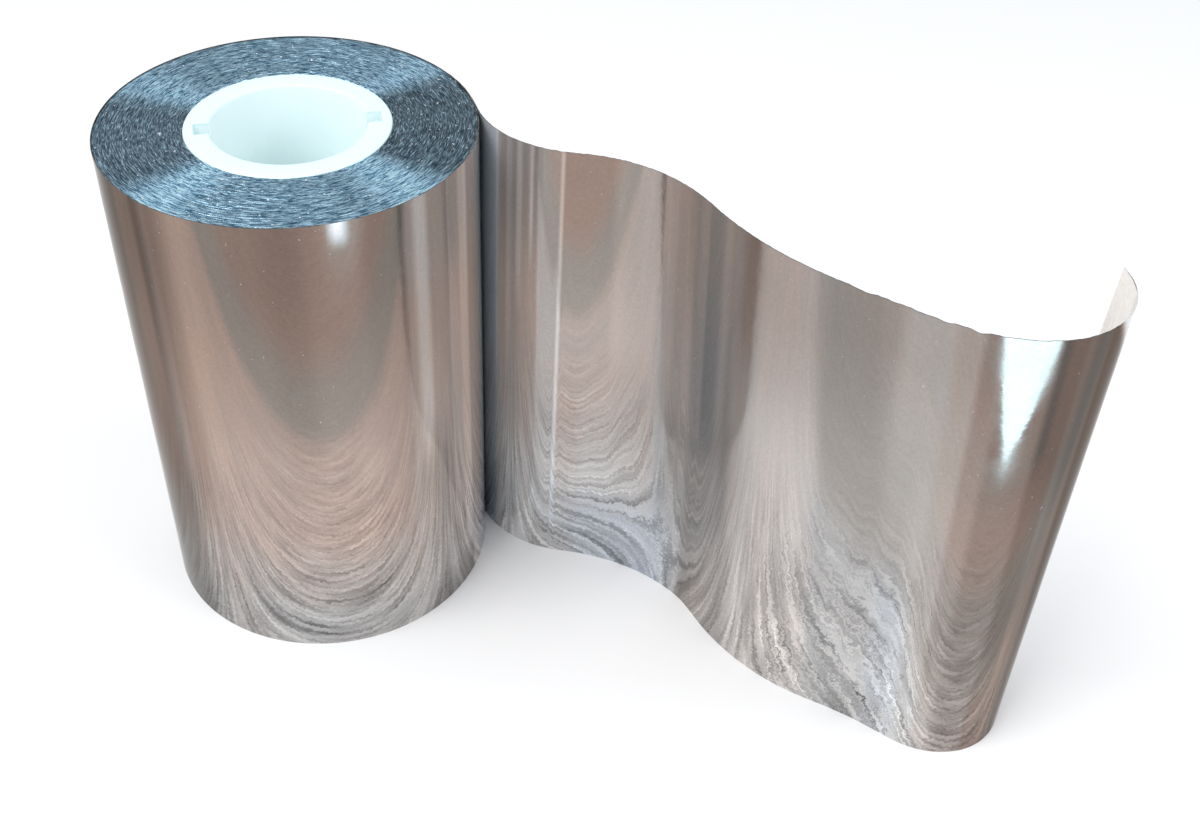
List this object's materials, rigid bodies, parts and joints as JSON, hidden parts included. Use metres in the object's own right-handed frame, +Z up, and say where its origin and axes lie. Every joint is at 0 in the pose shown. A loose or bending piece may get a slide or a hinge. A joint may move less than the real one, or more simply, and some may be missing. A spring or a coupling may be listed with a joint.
{
  "type": "copper foil tape roll",
  "caption": "Roll of metal foil tape wound on a notched plastic core, standing on end, with a free tail that waves away from the roll and curls at its tip.",
  "frame": {"origin": "bottom centre of the whole part's bounding box, on the surface that the roll stands on", "axes": "+Z up along the roll's axis; +X from the roll towards the tail's curled end; +Y away from the side that the tail swings out on"},
  "size_m": [0.1588, 0.1146, 0.1],
  "materials": {
    "foil": "polished",
    "foil_edges": "satin",
    "core_plastic": "satin",
    "strip_tape": "matte"
  },
  "bodies": {
    "roll": {"core": "core_plastic", "start_strip": "strip_tape", "wound_foil": "foil_edges"},
    "peel_line": {"outer_lap": "foil", "paid_out_span": "foil"},
    "tail_lead": {"lead_off_span": "foil"},
    "tail_wave": {"wave_span": "foil"},
    "tail_far": {"far_span": "foil"},
    "tail_end": {"end_curl": "foil"}
  },
  "joints": [
    {"name": "unwind", "type": "hinge", "parent": "roll", "child": "peel_line", "pos_m": [-0.04657, 0.02453, 0.05], "axis": [0, 0, 1], "range_deg": [0, 90]},
    {"name": "pay_out", "type": "slide", "parent": "peel_line", "child": "tail_lead", "axis": [0.0523, -0.9986, 0], "range_m": [0, 0.0522], "deforming": ["paid_out_span"]},
    {"name": "crease_fold", "type": "hinge", "parent": "tail_lead", "child": "tail_wave", "pos_m": [0.00154, 0.00791, 0.05], "axis": [0, 0, 1], "range_deg": [-60, 60]},
    {"name": "wave_flex", "type": "hinge", "parent": "tail_wave", "child": "tail_far", "pos_m": [0.02112, -0.00932, 0.05], "axis": [0, 0, 1], "range_deg": [-45, 45]},
    {"name": "curl_flex", "type": "hinge", "parent": "tail_far", "child": "tail_end", "pos_m": [0.05204, -0.05123, 0.05], "axis": [0, 0, 1], "range_deg": [-60, 60]}
  ],
  "couplings": [
    {"joint": "pay_out", "follows": "unwind", "m_per_rad": 0.033175}
  ]
}
